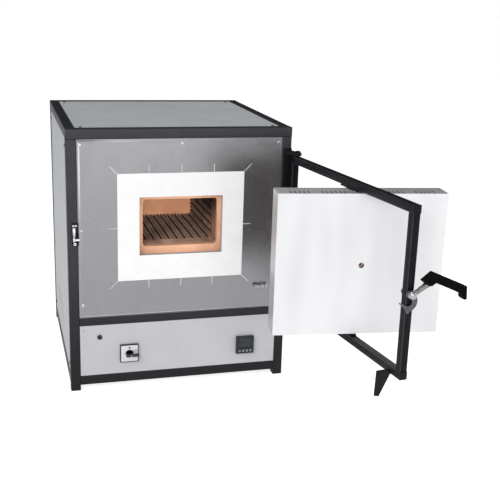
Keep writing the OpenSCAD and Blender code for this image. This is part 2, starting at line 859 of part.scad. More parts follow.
module leaf_core() {
    h = leaf_w / 2 - 1.2;
    color(white) placed() turned() difference() {
        leaf_box([-h, h], [33, leaf_t], [leaf_lo + 1.2, leaf_hi - 1.2]);
        rod_y(leaf_x + peep_a, peep_z, peep_r + gap, -90, 0);
    }
}

module peep_sleeve() {
    color([0.93, 0.8, 0.74]) placed() turned() difference() {
        rod_y(leaf_x + peep_a, peep_z, peep_r, leaf_back - leaf_t + 8, leaf_back - 0.5);
        rod_y(leaf_x + peep_a, peep_z, peep_bore, -90, 10);
    }
}

corner_posts();
front_rails();
rear_rails();
side_rails();
foot_caps();
rail_plugs();
side_covers();
top_cover();
rear_cover();
base_sheet();
tray();
front_plate();
front_board();
front_blanket();
plate_screws();
screw_lugs();
cover_screws();
control_panel();
muffle_mouth();
muffle_floor();
muffle_sides();
muffle_roof();
muffle_back();
heater_coils();
heater_leads();
insulation();
thermocouple();
relay();
terminal_block();
cable_gland();
switch_plate();
switch_body();
switch_knob();
controller();
controller_window();
key_set();
key_down();
key_up();
key_run();
reset_bush();
reset_pin();
catch_plate();
catch_bolts();
panel_stop();
hinge_carrier();
hinge_pins();
hinge_drum();
door_bars();
door_uprights();
door_fittings();
drive_cable();
interlock_fin();
latch_claw();
latch_shaft();
latch_grip();
leaf_skin();
leaf_case();
leaf_core();
leaf_pivots();
peep_sleeve();
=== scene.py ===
import json
import math

import bmesh
import bpy
from mathutils import Matrix, Vector


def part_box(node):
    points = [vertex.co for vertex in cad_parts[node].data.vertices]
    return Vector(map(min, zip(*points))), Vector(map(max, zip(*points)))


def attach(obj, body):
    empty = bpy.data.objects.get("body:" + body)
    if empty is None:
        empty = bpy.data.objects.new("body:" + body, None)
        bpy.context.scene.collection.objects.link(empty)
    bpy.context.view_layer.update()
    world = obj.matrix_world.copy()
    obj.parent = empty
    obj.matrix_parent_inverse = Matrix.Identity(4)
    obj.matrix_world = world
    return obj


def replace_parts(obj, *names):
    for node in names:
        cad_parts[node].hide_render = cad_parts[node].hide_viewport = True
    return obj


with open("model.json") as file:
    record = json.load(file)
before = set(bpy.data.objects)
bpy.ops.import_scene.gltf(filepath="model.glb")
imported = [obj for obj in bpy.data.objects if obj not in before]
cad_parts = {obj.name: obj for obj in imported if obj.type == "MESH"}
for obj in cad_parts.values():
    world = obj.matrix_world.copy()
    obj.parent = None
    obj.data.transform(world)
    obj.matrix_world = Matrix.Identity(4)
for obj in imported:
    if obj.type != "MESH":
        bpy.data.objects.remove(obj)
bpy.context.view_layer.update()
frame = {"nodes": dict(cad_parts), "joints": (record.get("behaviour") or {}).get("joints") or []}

NODES = frame["nodes"]
JOINTS = {joint["name"]: joint for joint in frame["joints"]}
MM = 0.001
FRONT_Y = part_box("corner_posts")[0].y

# Camera: where it stands, how far it is turned right of +Y, tipped down and rolled
CAMERA_AT = Vector((-0.4402, -2.4376, 1.0041))
CAMERA_TURN = math.radians(16.19)
CAMERA_DOWN = math.radians(16.09)
CAMERA_ROLL = math.radians(1.933)
CAMERA_LENS_MM = 64.02

# Outer corner radius of the square tubes, and their wall
TUBE_RADIUS = 2.2 * MM
DOOR_TUBE_RADIUS = 1.8 * MM
TUBE_WALL = 1.5 * MM

# Places of the small parts, in millimetres as at() counts them
CATCH_X = -266
CATCH_PIN = (-21.4, 411.4)
CATCH_BOLTS = ((-4.6, 442.5, 2.9), (1.8, 442.5, 2.9), (-1.4, 395.5, 4.2))
SWITCH_X, CONTROLLER_X, DIALS_Z = -134.5, 176.4, 95.6
COVER_SIDE_X, COVER_REAR_Y = 283.5, 578.5
GLAND_X, GLAND_Z = 190, 100

# Places on the door, in millimetres as door_at() counts them
HINGE_PIN_U = 17
LATCH_Z, LATCH_V = 423.5, -1
STEM_TILT = math.radians(59)


# ------------------------------------------------------------------ material nodes
class Shader:
    """A material with one Principled shader, and short calls for the nodes that feed it."""

    def __init__(self, name, **sockets):
        self.material = bpy.data.materials.new(name)
        self.material.use_nodes = True
        self.tree = self.material.node_tree
        self.bsdf = self.tree.nodes["Principled BSDF"]
        for socket, value in sockets.items():
            self.bsdf.inputs[socket.replace("_", " ")].default_value = value
        self.coords = self.tree.nodes.new("ShaderNodeTexCoord").outputs["Object"]

    def node(self, kind, inputs=(), **settings):
        made = self.tree.nodes.new(kind)
        for key, value in settings.items():
            setattr(made, key, value)
        for key, value in dict(inputs).items():
            if isinstance(value, bpy.types.NodeSocket):
                self.tree.links.new(value, made.inputs[key])
            else:
                made.inputs[key].default_value = value
        return made

    def stretched(self, scale, turn=(0, 0, 0)):
        """Object coordinates, scaled and turned."""
        inputs = {"Vector": self.coords, "Scale": scale, "Rotation": turn}
        mapping = self.node("ShaderNodeMapping", inputs)
        return mapping.outputs["Vector"]

    def noise(self, scale, detail=3.0, roughness=0.5, vector=None, distortion=0.0):
        inputs = {"Vector": vector or self.coords, "Scale": scale, "Detail": detail,
                  "Roughness": roughness, "Distortion": distortion}
        return self.node("ShaderNodeTexNoise", inputs).outputs["Fac"]

    def cells(self, scale, feature="F1", vector=None):
        inputs = {"Vector": vector or self.coords, "Scale": scale}
        return self.node("ShaderNodeTexVoronoi", inputs, feature=feature).outputs["Distance"]

    def between(self, fac, low, high, start=0.0, end=1.0):
        """A number that runs from low to high as fac runs from start to end."""
        inputs = {"Value": fac, "From Min": start, "From Max": end, "To Min": low, "To Max": high}
        return self.node("ShaderNodeMapRange", inputs).outputs["Result"]

    def colours(self, fac, *stops):
        """A colour ramp; each stop is (place, (r, g, b))."""
        ramp = self.node("ShaderNodeValToRGB", {"Fac": fac})
        elements = ramp.color_ramp.elements
        for _ in stops[2:]:
            elements.new(0.5)
        for element, (place, colour) in zip(elements, stops):
            element.position = place
            element.color = (*colour, 1)
        return ramp.outputs["Color"]

    def blend(self, fac, a, b, how="MIX"):
        mix = self.node("ShaderNodeMix", data_type="RGBA", blend_type=how)
        for socket, value in ((mix.inputs[0], fac), (mix.inputs[6], a), (mix.inputs[7], b)):
            if isinstance(value, bpy.types.NodeSocket):
                self.tree.links.new(value, socket)
            else:
                socket.default_value = value if isinstance(value, float) else (*value, 1)
        return mix.outputs[2]

    def up(self, start=0.3, end=0.95):
        """1 where the surface faces up, 0 where it doesn't."""
        normal = self.node("ShaderNodeNewGeometry").outputs["Normal"]
        z = self.node("ShaderNodeSeparateXYZ", {"Vector": normal}).outputs["Z"]
        return self.between(z, 0.0, 1.0, start, end)

    def height(self, axis):
        """One object coordinate, in metres."""
        return self.node("ShaderNodeSeparateXYZ", {"Vector": self.coords}).outputs[axis]

    def bump(self, height, depth, strength=1.0, under=None):
        inputs = {"Height": height, "Distance": depth, "Strength": strength}
        if under:
            inputs["Normal"] = under
        return self.node("ShaderNodeBump", inputs).outputs["Normal"]

    def feed(self, **sockets):
        for socket, value in sockets.items():
            self.tree.links.new(value, self.bsdf.inputs[socket.replace("_", " ")])
        return self.material


def powder_coat(name, dark, light, rough=0.42, peel=0.00012, dust=0.0, shine=0.45, shade_colour=None):
    """Baked powder paint: orange peel, faint cloudiness, a little dust on what faces up, and,
    with a shade colour, painted shade: a shift to it on top faces and down towards the floor."""
    s = Shader(name, Specular_IOR_Level=shine)
    peel_noise = s.noise(520, 2, 0.4)
    cloud = s.noise(9, 4, 0.6)
    scuff = s.noise(45, 6, 0.75, distortion=0.6)
    colour = s.colours(cloud, (0.3, dark), (0.7, light))
    if shade_colour:
        # painted shade: darker down towards the floor and on faces that look up
        low = s.between(s.height("Z"), 1.0, 0.0, 0.06, 0.42)
        top = s.between(s.up(), 0.0, 0.8)
        colour = s.blend(top, s.blend(low, colour, shade_colour), shade_colour)
    dusty = s.blend(s.between(s.up(), 0.0, dust), colour, (0.42, 0.42, 0.42))
    roughness = s.between(scuff, rough - 0.07, rough + 0.12, 0.3, 0.7)
    return s.feed(Base_Color=dusty, Roughness=roughness, Normal=s.bump(peel_noise, peel))


def brushed_steel(name, dark, light, along=(1, 60, 60), rough=0.3, metallic=1.0, depth=0.00003):
    """Sheet steel with a rolled or brushed grain along one axis, and smudges."""
    s = Shader(name, Metallic=metallic, Anisotropic=0.35)
    grain = s.noise(14, 6, 0.7, s.stretched(along))
    fine = s.noise(60, 4, 0.6, s.stretched(along))
    smudge = s.noise(7, 5, 0.6, distortion=0.8)
    colour = s.colours(s.blend(0.45, grain, smudge), (0.3, dark), (0.7, light))
    roughness = s.between(s.blend(0.5, fine, smudge), rough - 0.06, rough + 0.1, 0.3, 0.7)
    return s.feed(Base_Color=colour, Roughness=roughness, Normal=s.bump(fine, depth))


def plated_steel(name, dark, light, rough=0.25):
    """Zinc or nickel plate: small crystals, a few dull patches."""
    s = Shader(name, Metallic=1.0)
    crystals = s.cells(420)
    patch = s.noise(70, 5, 0.65)
    colour = s.colours(s.blend(0.6, crystals, patch), (0.2, dark), (0.65, light))
    roughness = s.between(patch, rough - 0.08, rough + 0.15, 0.3, 0.7)
    return s.feed(Base_Color=colour, Roughness=roughness, Normal=s.bump(patch, 0.00004))


def polished_chrome():
    s = Shader("chrome", Metallic=1.0)
    smear = s.noise(60, 4, 0.6, distortion=1.0)
    colour = s.colours(smear, (0.3, (0.40, 0.40, 0.41)), (0.7, (0.62, 0.62, 0.63)))
    return s.feed(Base_Color=colour, Roughness=s.between(smear, 0.10, 0.24, 0.35, 0.7),
                  Normal=s.bump(smear, 0.00003))


def fired_clay(name, dark, light, pores=0.0006, soot=None, dark_above=None, groove_shade=None):
    """Fired chamotte: grog grains, pores and soot in clouds, and, with a height in metres, darker above it.
    With groove shade, (axis, face), the grooves just inside that face of the muffle get painted shade, near
    black."""
    s = Shader(name, Specular_IOR_Level=0.25)
    grog = s.cells(330)
    mottled = s.noise(38, 6, 0.65)
    pits = s.noise(260, 3, 0.7)
    colour = s.colours(mottled, (0.28, dark), (0.72, light))
    speckled = s.blend(s.between(grog, 0.35, 0.0, 0.05, 0.35), colour, dark)
    if soot:
        stain = s.noise(14, 5, 0.6, s.stretched((1, 0.35, 1)), distortion=0.5)
        reach = s.between(stain, 0.0, 0.85, 0.38, 0.66)
        if dark_above:
            # darker above the given height
            over = s.between(s.height("Z"), 0.0, 1.0, dark_above - 0.03, dark_above + 0.03)
            reach = s.blend(over, s.between(stain, 0.0, 0.3, 0.4, 0.6), (0.95, 0.95, 0.95))
        speckled = s.blend(reach, speckled, soot)
    if groove_shade:
        axis, face = groove_shade
        place = s.height(axis)
        if axis == "X":
            place = s.node("ShaderNodeMath", {0: place}, operation="ABSOLUTE").outputs[0]
        groove_shade_mask = s.between(place, 0.0, 1.0, face, face + (1.5 * MM if axis == "X" else -1.5 * MM))
        # painted shade: near black in the grooves of the muffle floor and walls
        speckled = s.blend(groove_shade_mask, speckled, (0.030, 0.018, 0.012))
    rough = s.between(mottled, 0.82, 0.97)
    fine = s.bump(pits, pores)
    return s.feed(Base_Color=speckled, Roughness=rough, Normal=s.bump(grog, pores, 0.6, fine))


def fibre(name, dark, light, fuzz=0.0004, side_shade=None):
    """Vacuum-formed ceramic fibre: matted strands and shallow dimples, and, with a side shade colour,
    painted shade on every face that doesn't look along Y."""
    s = Shader(name, Specular_IOR_Level=0.2, Sheen_Weight=0.15)
    strands = s.noise(420, 5, 0.75, s.stretched((1, 1, 0.35)), distortion=1.5)
    dimple = s.noise(24, 4, 0.5)
    colour = s.colours(s.blend(0.6, strands, dimple), (0.25, dark), (0.7, light))
    if side_shade:
        # painted shade on the faces that don't look along Y
        normal = s.node("ShaderNodeNewGeometry").outputs["Normal"]
        facing = s.node("ShaderNodeSeparateXYZ", {"Vector": normal}).outputs["Y"]
        sideways = s.node("ShaderNodeMath", {0: facing}, operation="ABSOLUTE").outputs[0]
        colour = s.blend(s.between(sideways, 1.0, 0.0, 0.3, 0.6), colour, side_shade)
    mat = s.bump(strands, fuzz)
    return s.feed(Base_Color=colour, Roughness=s.between(strands, 0.85, 0.98),
                  Normal=s.bump(dimple, fuzz * 2, 0.5, mat))


def plastic(name, dark, light, rough=0.45, grain=0.00006, shine=0.4):
    """Moulded plastic with a fine spark-eroded grain."""
    s = Shader(name, Specular_IOR_Level=shine)
    erosion = s.noise(900, 2, 0.5)
    wear = s.noise(60, 5, 0.7)
    colour = s.colours(wear, (0.3, dark), (0.75, light))
    return s.feed(Base_Color=colour, Roughness=s.between(wear, rough - 0.08, rough + 0.12, 0.3, 0.7),
                  Normal=s.bump(erosion, grain))


def door_sheet():
    """The door panel's front: white satin sheet with broad, soft vertical clouds."""
    s = Shader("door_sheet", Metallic=0.12, Specular_IOR_Level=0.5)
    cloud = s.noise(3.2, 2, 0.4, s.stretched((2.2, 2.2, 0.5)))
    grain = s.noise(30, 4, 0.6, s.stretched((40, 40, 1)))
    colour = s.colours(cloud, (0.36, (0.75, 0.75, 0.77)), (0.54, (0.90, 0.90, 0.905)))
    roughness = s.between(s.blend(0.5, grain, cloud), 0.26, 0.36, 0.3, 0.7)
    return s.feed(Base_Color=colour, Roughness=roughness, Normal=s.bump(grain, 0.000006))


def display_glass():
    s = Shader("display_glass", Specular_IOR_Level=0.3)
    haze = s.noise(120, 4, 0.6)
    colour = s.colours(haze, (0.3, (0.018, 0.026, 0.028)), (0.7, (0.030, 0.042, 0.044)))
    return s.feed(Base_Color=colour, Roughness=s.between(haze, 0.08, 0.2),
                  Normal=s.bump(haze, 0.00001))


def oxidised_wire():
    """Resistance wire: grey-brown scale with paler, flaked spots."""
    s = Shader("oxidised_wire", Metallic=0.35)
    scale = s.noise(330, 5, 0.7)
    patch = s.noise(28, 4, 0.6)
    colour = s.colours(s.blend(0.5, scale, patch), (0.3, (0.09, 0.055, 0.04)),
                       (0.5, (0.21, 0.14, 0.105)), (0.72, (0.40, 0.29, 0.21)))
    # darker above 405 to 455 mm, like the upper chamber walls
    colour = s.blend(s.between(s.height("Z"), 0.0, 0.9, 0.405, 0.455), colour, (0.022, 0.013, 0.010))
    return s.feed(Base_Color=colour, Roughness=s.between(scale, 0.5, 0.85),
                  Normal=s.bump(scale, 0.0003))


M = {
    # the frame's shade colour gives painted shade on its top faces and lower parts
    "frame": powder_coat("frame_black", (0.032, 0.030, 0.035), (0.044, 0.041, 0.047), 0.36, shine=0.25,
                         shade_colour=(0.010, 0.010, 0.012)),
    "door_frame": powder_coat("door_frame_black", (0.004, 0.004, 0.006), (0.008, 0.008, 0.010), 0.3,
                              shine=0.14),
    "cover": powder_coat("cover_grey", (0.50, 0.52, 0.53), (0.56, 0.585, 0.595), 0.36, 0.00006, 0.02),
    "panel": powder_coat("panel_grey", (0.50, 0.50, 0.525), (0.55, 0.55, 0.575), 0.36, 0.00003),
    "plate": brushed_steel("front_stainless", (0.31, 0.305, 0.315), (0.355, 0.35, 0.365),
                           (90, 90, 1.0), 0.26, depth=0.00001),
    "case": brushed_steel("case_stainless", (0.58, 0.575, 0.585), (0.68, 0.675, 0.685), (1.5, 60, 60),
                          0.34, metallic=0.55),
    "bezel": brushed_steel("bezel_aluminium", (0.66, 0.66, 0.68), (0.80, 0.80, 0.82), (1, 60, 60), 0.35,
                           metallic=0.5),
    "zinc": plated_steel("zinc_plate", (0.36, 0.36, 0.37), (0.66, 0.66, 0.67)),
    "bright_zinc": plated_steel("bright_zinc_plate", (0.66, 0.66, 0.67), (0.90, 0.90, 0.90), 0.2),
    "claw": plated_steel("claw_steel", (0.07, 0.07, 0.08), (0.17, 0.17, 0.19), 0.34),
    # lighter colour on the claw's rounded edges: painted highlight
    "claw_edge_highlight": plated_steel("claw_edge_highlight", (0.46, 0.46, 0.48), (0.70, 0.70, 0.72), 0.28),
    "stem": plated_steel("stem_steel", (0.20, 0.20, 0.20), (0.33, 0.33, 0.33), 0.28),
    # lighter colour on the door tubes' rounded corners: painted highlight
    "door_tube_highlight": powder_coat("painted_door_edge_highlight", (0.018, 0.018, 0.022), (0.034, 0.034, 0.040), 0.3,
                             shine=0.3),
    # lighter than the hub's black, although one knob: painted highlight on the bar handle
    "handle": plastic("handle_black_highlight", (0.010, 0.010, 0.012), (0.022, 0.022, 0.024), 0.3, 0.00003,
                      shine=0.6),
    "chrome": polished_chrome(),
    "black_steel": powder_coat("black_steel", (0.004, 0.004, 0.005), (0.010, 0.010, 0.012), 0.34,
                               0.00006, shine=0.18),
    "grip": plastic("grip_black", (0.001, 0.001, 0.001), (0.003, 0.003, 0.003), 0.38, 0.00002,
                    shine=0.05),
    "recess": powder_coat("recess_shade", (0.10, 0.10, 0.105), (0.16, 0.16, 0.165)),
    "gap_shade": fibre("gap_shade_strip", (0.10, 0.092, 0.10), (0.15, 0.14, 0.15)),
    "black_plastic": plastic("black_plastic", (0.009, 0.009, 0.010), (0.022, 0.022, 0.024), 0.45),
    "key": plastic("key_grey", (0.26, 0.27, 0.28), (0.36, 0.37, 0.38), 0.4),
    "print": plastic("white_print", (0.62, 0.63, 0.65), (0.72, 0.73, 0.74), 0.5),
    "segment": plastic("unlit_segment", (0.045, 0.058, 0.062), (0.06, 0.075, 0.08), 0.3),
    "terminal": plastic("terminal_cream", (0.60, 0.58, 0.50), (0.70, 0.68, 0.60), 0.45),
    "glass": display_glass(),
    # the board's side faces, its hole wall among them, get painted shade
    "board": fibre("fibre_board", (0.88, 0.875, 0.875), (0.96, 0.955, 0.955), side_shade=(0.40, 0.395, 0.39)),
    "blanket": fibre("fibre_blanket", (0.78, 0.77, 0.75), (0.92, 0.91, 0.90), 0.0008),
    # darkened pad colour: painted shade on the door's inner face
    "door_pad_shaded": fibre("door_pad_shaded", (0.26, 0.24, 0.215), (0.50, 0.47, 0.43), 0.0008),
    "clay_ring": fired_clay("clay_ring", (0.54, 0.29, 0.18), (0.66, 0.37, 0.24)),
    "clay_back": fired_clay("clay_back", (0.58, 0.26, 0.135), (0.72, 0.36, 0.20)),
    "clay_floor": fired_clay("clay_floor", (0.52, 0.33, 0.23), (0.68, 0.46, 0.34), 0.0008,
                             (0.26, 0.16, 0.11), groove_shade=("Z", 377.2 * MM)),
    "clay_wall": fired_clay("clay_wall", (0.34, 0.18, 0.11), (0.50, 0.28, 0.18), 0.0008,
                            (0.045, 0.022, 0.016), 0.445, groove_shade=("X", 96.3 * MM)),
    "sleeve": fired_clay("sleeve_clay", (0.72, 0.50, 0.42), (0.84, 0.64, 0.56), 0.0002),
    "wire": oxidised_wire(),
    "door": door_sheet(),
}

NODE_MATERIALS = {
    "cover": ["side_covers", "top_cover", "rear_cover"],
    "panel": ["control_panel"],
    "plate": ["front_plate"],
    "case": ["leaf_case", "base_sheet", "tray"],
    "zinc": ["panel_stop", "hinge_drum", "drive_cable", "leaf_pivots", "heater_leads"],
    "claw": ["latch_claw"],
    "black_steel": ["screw_lugs", "hinge_carrier", "hinge_pins", "door_fittings", "interlock_fin"],
    "grip": ["latch_grip"],
    "black_plastic": ["foot_caps", "rail_plugs", "relay", "switch_body", "controller", "reset_bush",
                      "reset_pin"],
    "key": ["key_set", "key_down", "key_up", "key_run"],
    "terminal": ["terminal_block"],
    "glass": ["controller_window"],
    "board": ["front_board"],
    "blanket": ["front_blanket", "insulation"],
    "door_pad_shaded": ["leaf_core"],
    "clay_ring": ["muffle_mouth"],
    "clay_back": ["muffle_back", "muffle_roof"],
    "clay_floor": ["muffle_floor"],
    "clay_wall": ["muffle_sides"],
    "sleeve": ["peep_sleeve", "thermocouple"],
    "door": ["leaf_skin"],
}


# ------------------------------------------------------------------ mesh helpers
def paint_cad_nodes():
    for slot, names in NODE_MATERIALS.items():
        for name in names:
            NODES[name].data.materials.clear()
            NODES[name].data.materials.append(M[slot])


def soften(width, *names, segments=3, rim=None):
    """Rounds the edges of CAD nodes with modifiers, which leaves their own mesh alone.
    With a rim material the rounded edges take it, a lighter colour, as a painted highlight."""
    for name in names:
        node = NODES[name]
        weld = node.modifiers.new("weld", "WELD")
        weld.merge_threshold = 0.005 * MM
        flat = node.modifiers.new("flat", "DECIMATE")
        flat.decimate_type = "DISSOLVE"
        flat.angle_limit = math.radians(1)
        edge = node.modifiers.new("round", "BEVEL")
        edge.width = width
        edge.segments = segments
        edge.limit_method = "ANGLE"
        edge.angle_limit = math.radians(50)
        edge.harden_normals = True
        edge.miter_outer = "MITER_ARC"
        if rim:
            node.data.materials.append(rim)
            edge.material = len(node.data.materials) - 1


def new_piece(name, bm, material, body, smooth=True, rim=None):
    """Turns a bmesh into an object that rides on a body; faces of index 1 get the rim material."""
    bmesh.ops.recalc_face_normals(bm, faces=bm.faces)
    mesh = bpy.data.meshes.new(name)
    bm.to_mesh(mesh)
    bm.free()
    mesh.materials.append(material)
    if rim:
        mesh.materials.append(rim)
    if smooth:
        mesh.shade_smooth()
        mesh.set_sharp_from_angle(angle=math.radians(35))
    piece = bpy.data.objects.new(name, mesh)
    bpy.context.scene.collection.objects.link(piece)
    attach(piece, body)
    return piece


def islands(name):
    """The separate solids of a CAD node, each as a list of its corners."""
    bm = bmesh.new()
    bm.from_mesh(NODES[name].data)
    bmesh.ops.remove_doubles(bm, verts=bm.verts, dist=0.001 * MM)
    waiting = set(bm.verts)
    found = []
    while waiting:
        edge_of = [waiting.pop()]
        solid = []
        while edge_of:
            vert = edge_of.pop()
            solid.append(vert.co.copy())
            for edge in vert.link_edges:
                other = edge.other_vert(vert)
                if other in waiting:
                    waiting.remove(other)
                    edge_of.append(other)
        found.append(solid)
    bm.free()
    return found


def extent(points, into=Matrix.Identity(4)):
    """(lowest, highest) corner of some points, seen in the axes that the matrix leads into."""
    moved = [into @ p for p in points]
    low = Vector([min(p[i] for p in moved) for i in range(3)])
    high = Vector([max(p[i] for p in moved) for i in range(3)])
    return low, high


def rounded_rectangle(width, height, radius, steps=4):
    """Corners of a rounded rectangle about the origin, anticlockwise."""
    points = []
    for quarter in range(4):
        sx = 1 if quarter in (0, 3) else -1
        sy = 1 if quarter in (0, 1) else -1
        centre = Vector((sx * (width / 2 - radius), sy * (height / 2 - radius)))
        for step in range(steps + 1):
            angle = (quarter + step / steps) * math.pi / 2
            points.append(centre + radius * Vector((math.cos(angle), math.sin(angle))))
    return points


def axes_to(direction, at=(0, 0, 0)):
    """Places +Z along a direction, at a point."""
    turn = Vector(direction).normalized().to_track_quat("Z", "Y").to_matrix().to_4x4()
    return Matrix.Translation(Vector(at)) @ turn


def loft(bm, rings, close_ends=True, wrap=False):
    """Joins rings of equally many points with quads."""
    made = [[bm.verts.new(point) for point in ring] for ring in rings]
    pairs = list(zip(made, made[1:]))
    if wrap:
        pairs.append((made[-1], made[0]))
    for lower, upper in pairs:
        count = len(lower)
        for i in range(count):
            bm.faces.new((lower[i], lower[(i + 1) % count], upper[(i + 1) % count], upper[i]))
    if close_ends and not wrap:
        bm.faces.new(list(reversed(made[0])))
        bm.faces.new(made[-1])
    return made


def square_tube(bm, low, high, radius, place=Matrix.Identity(4)):
    """An open square tube with rounded corners that fills a box, along the box's longest side."""
    size = high - low
    along = max(range(3), key=lambda i: size[i])
    across = [i for i in range(3) if i != along]
    middle = (low + high) / 2

    def ring(width, height, corner, end, inset=0.0):
        points = []
        for flat in rounded_rectangle(width, height, corner):
            point = Vector((0, 0, 0))
            point[across[0]] = middle[across[0]] + flat.x
            point[across[1]] = middle[across[1]] + flat.y
            point[along] = (low if end < 0 else high)[along] - end * inset
            points.append(place @ point)
        return points

    wide, tall = size[across[0]], size[across[1]]
    lip = 0.35 * MM
    inner = (wide - 2 * TUBE_WALL, tall - 2 * TUBE_WALL, max(radius - TUBE_WALL, 0.4 * MM))
    rings = [ring(wide, tall, radius, -1, lip),
             ring(wide, tall, radius, 1, lip),
             ring(wide - 2 * lip, tall - 2 * lip, radius - lip, 1),
             ring(*inner, 1),
             ring(*inner, -1),
             ring(wide - 2 * lip, tall - 2 * lip, radius - lip, -1)]
    made = loft(bm, rings, wrap=True)
    outer = set(made[0] + made[1])
    for face in bm.faces:
        if outer.issuperset(face.verts) and min(edge.calc_length() for edge in face.edges) < radius:
            face.material_index = 1


def lathe(bm, profile, place, steps=32):
    """Turns (radius, height) pairs about Z; a radius of 0 closes an end."""
    rings = []
    for radius, height in profile:
        size = max(radius, 0.01 * MM)
        rings.append([place @ Vector((size * math.cos(a), size * math.sin(a), height))
                      for a in (2 * math.pi * i / steps for i in range(steps))])
    loft(bm, rings)


def turned(bm, profile, place, steps=32):
    """The same, with the profile in millimetres."""
    lathe(bm, [(radius * MM, height * MM) for radius, height in profile], place, steps)


def rounded_hull(bm, points, round_off, steps=3):
    """The convex body round some points, with all its edges rounded."""
    part = bmesh.new()
    bmesh.ops.convex_hull(part, input=[part.verts.new(point) for point in points])
    bmesh.ops.dissolve_limit(part, angle_limit=math.radians(1), verts=part.verts, edges=part.edges)
    bmesh.ops.bevel(part, geom=part.edges[:], offset=round_off, segments=steps, profile=0.5,
                    affect="EDGES")
    spare = bpy.data.meshes.new("spare")
    part.to_mesh(spare)
    part.free()
    bm.from_mesh(spare)
    bpy.data.meshes.remove(spare)


def at(x, y, z):
    """A point in millimetres, with y counted from the front plane of the tube frame."""
    return Vector((x * MM, y * MM + FRONT_Y, z * MM))


def block(bm, low, high, round_off, steps=3):
    """A box with rounded edges, given by two corners in the same millimetres as at()."""
    corners = [at(x, y, z)
               for x in (low[0], high[0]) for y in (low[1], high[1]) for z in (low[2], high[2])]
    rounded_hull(bm, corners, round_off * MM, steps)


# ------------------------------------------------------------------ door axes
HINGE_AT = Vector(JOINTS["door_swing"]["pos_m"])
LATCH_ALONG = Vector(JOINTS["latch_turn"]["axis"]).normalized()
DOOR_OUT = Vector((-LATCH_ALONG.y, LATCH_ALONG.x, 0))
# columns: along the door towards the latch, up, and out of the door
DOOR_AXES = Matrix((
    (LATCH_ALONG.x, 0, DOOR_OUT.x, HINGE_AT.x),
    (LATCH_ALONG.y, 0, DOOR_OUT.y, HINGE_AT.y),
    (0, 1, 0, 0),
    (0, 0, 0, 1)))


def rounded_frame_tubes():
    """Every square tube with rounded corners; those of the door get a painted highlight along them."""
    for name in ("corner_posts", "front_rails", "rear_rails", "side_rails"):
        bm = bmesh.new()
        for solid in islands(name):
            square_tube(bm, *extent(solid), TUBE_RADIUS)
        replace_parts(new_piece(name + "_rounded", bm, M["frame"], "cabinet",
                              rim=M["frame"]), name)
    for name in ("door_bars", "door_uprights"):
        bm = bmesh.new()
        for solid in islands(name):
            low, high = extent(solid, DOOR_AXES.inverted())
            square_tube(bm, low, high, DOOR_TUBE_RADIUS, DOOR_AXES)
        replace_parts(new_piece(name + "_rounded", bm, M["door_frame"], "door",
                              rim=M["door_tube_highlight"]), name)


# ------------------------------------------------------------------ heater
def helix_rod(bm, start, end, radius, wire, pitch, steps=10, sides=5):
    """A coil of wire between two points."""
    along = (end - start).normalized()
    side = along.orthogonal().normalized()
    up = along.cross(side)
    turns = (end - start).length / pitch
    rings = []
    for i in range(int(turns * steps) + 1):
        angle = 2 * math.pi * i / steps
        outwards = side * math.cos(angle) + up * math.sin(angle)
        centre = start + along * (pitch * i / steps) + outwards * radius
        rings.append([centre + wire * (outwards * math.cos(a) + along * math.sin(a))
                      for a in (2 * math.pi * k / sides for k in range(sides))])
    loft(bm, rings)


def wound_coils():
    """Each plain rod of the heater becomes a coil of wire."""
    wire = 1.0 * MM
    bm = bmesh.new()
    for solid in islands("heater_coils"):
        low, high = extent(solid)
        middle = (low + high) / 2
        start = Vector((middle.x, low.y + wire, middle.z))
        end = Vector((middle.x, high.y - wire, middle.z))
        helix_rod(bm, start, end, (high.x - low.x) / 2 - wire, wire, 2.9 * MM)
    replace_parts(new_piece("wound_coils", bm, M["wire"], "cabinet"), "heater_coils")


# ------------------------------------------------------------------ fasteners
def cross_screw(bm, place, radius, height):
    """A low domed head towards +Z; gives back the outline of its cross."""
    profile = [(radius, 0), (radius, height * 0.35), (radius * 0.9, height * 0.75),
               (radius * 0.62, height * 0.97), (radius * 0.5, height)]
    lathe(bm, profile, place, 24)
    arm, width = radius * 0.42, radius * 0.13
    outline = []
    for quarter in range(4):
        turn = Matrix.Rotation(quarter * math.pi / 2, 2)
        outline += [turn @ Vector(p) for p in ((width, -arm), (width, -width))]
    outline = outline[1:] + outline[:1]
    return [place @ Vector((p.x, p.y, height * 1.02)) for p in outline]


def outward(middle):
    """The outward direction of the cabinet face that a point lies nearest to."""
    low, high = extent([p for solid in islands("corner_posts") for p in solid])
    high.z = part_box("front_rails")[1].z
    gaps = {}
    for i in range(3):
        axis = Vector([1.0 if k == i else 0.0 for k in range(3)])
        gaps[high[i] - middle[i]] = axis
        if i < 2:
            gaps[middle[i] - low[i]] = -axis
    return gaps[min(gaps)]


def screw_heads(name, radius, height, material, painted_below=0.0):
    """Cross-head screws; those of the control panel are painted over with it."""
    bm, painted, dark = bmesh.new(), bmesh.new(), bmesh.new()
    for solid in islands(name):
        low, high = extent(solid)
        middle = (low + high) / 2
        out = outward(middle)
        tip = max(p.dot(out) for p in solid)
        seat = middle - out * middle.dot(out) + out * (tip - height)
        cross = cross_screw(painted if middle.z < painted_below else bm, axes_to(out, seat), radius, height)
        # the flat dark cross on each head is painted shade for its recess
        dark.faces.new([dark.verts.new(p) for p in cross])
    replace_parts(new_piece(name + "_heads", bm, material, "cabinet"), name)
    new_piece(name + "_cross_shade", dark, M["recess"], "cabinet", smooth=False)
    if painted_below:
        new_piece(name + "_painted", painted, M["panel"], "cabinet")
    else:
        painted.free()


